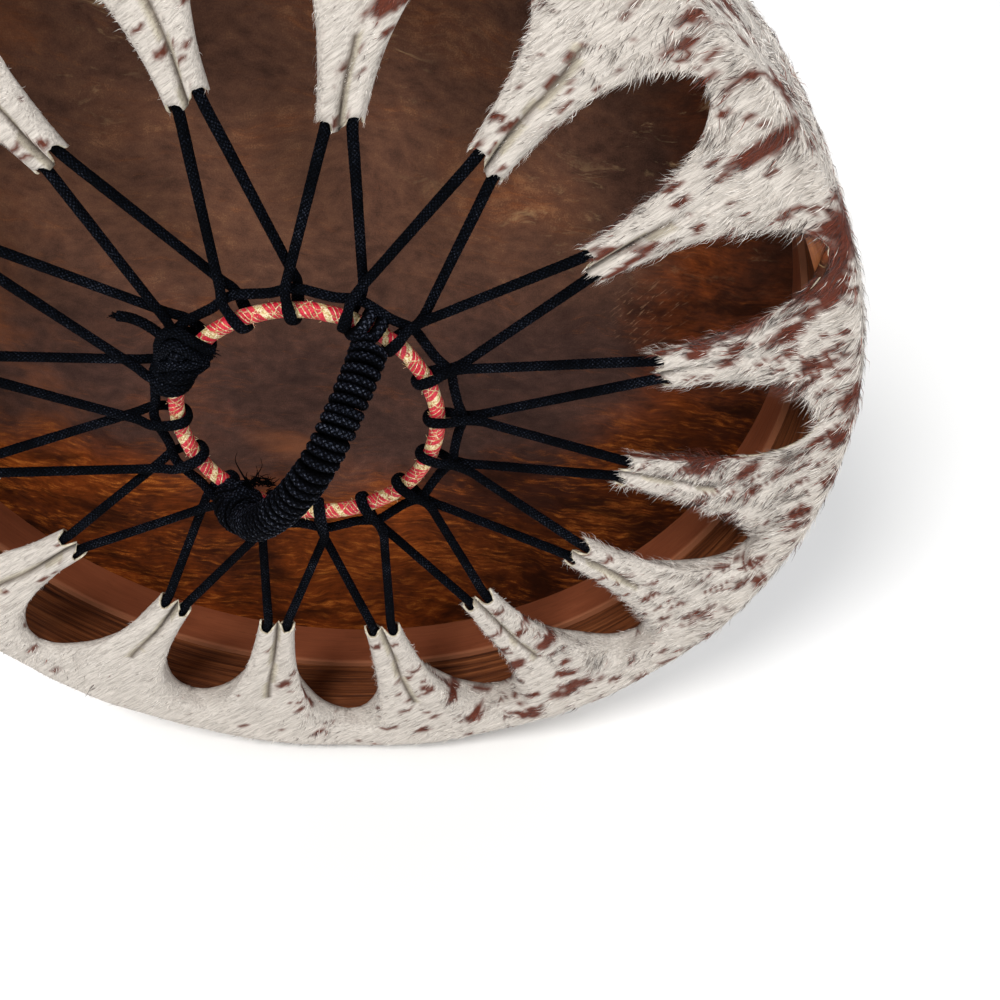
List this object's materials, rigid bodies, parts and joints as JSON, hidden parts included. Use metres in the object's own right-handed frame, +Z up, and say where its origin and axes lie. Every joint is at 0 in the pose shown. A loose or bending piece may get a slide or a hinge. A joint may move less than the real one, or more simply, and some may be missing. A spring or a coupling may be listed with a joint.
{
  "type": "laced frame drum",
  "caption": "Single-headed frame drum: one hair-on hide over a bent-wood hoop, laced at the back to a cloth-wrapped ring that carries an arched cord-wound grip.",
  "frame": {"origin": "centre of the playing face, on the drum axis", "axes": "+Y is the outward normal of the playing face; the laced back and the grip face -Y; +Z is up with the drum held on edge; the grip's chord runs from lower left to upper right as seen from the back"},
  "size_m": [0.4896, 0.1365, 0.4896],
  "materials": {
    "hoop_wood": "dark stained bent wood, satin, fine grain along the circumference",
    "lining_wood": "smooth red-brown wood, satin",
    "hair_on_hide": "hair-on hide, off-white with red-brown specks outside, dark brown raw skin inside",
    "black_cord": "matt black braided cord",
    "ring_steel": "plain round rod, hidden in the cloth wrap",
    "ring_cloth": "crimson and gold woven strip wound in a helix"
  },
  "bodies": {
    "drum": {"hoop": "hoop_wood", "lining_hoop": "lining_wood", "hide": "hair_on_hide", "lacing_cord": "black_cord", "binding_cord": "black_cord", "hub_ring": "ring_steel", "ring_wrap": "ring_cloth", "grip_tie_upper": "black_cord", "grip_tie_lower": "black_cord", "finishing_knot": "black_cord"},
    "grip": {"grip_core": "black_cord", "grip_winding": "black_cord"}
  },
  "joints": [
    {"name": "grip_rock", "type": "hinge", "parent": "drum", "child": "grip", "pos_m": [0, -0.07395, 0], "axis": [0.5556, 0, 0.8315], "range_deg": [-12, 12], "stiffness_Nm_per_rad": 0.3}
  ]
}
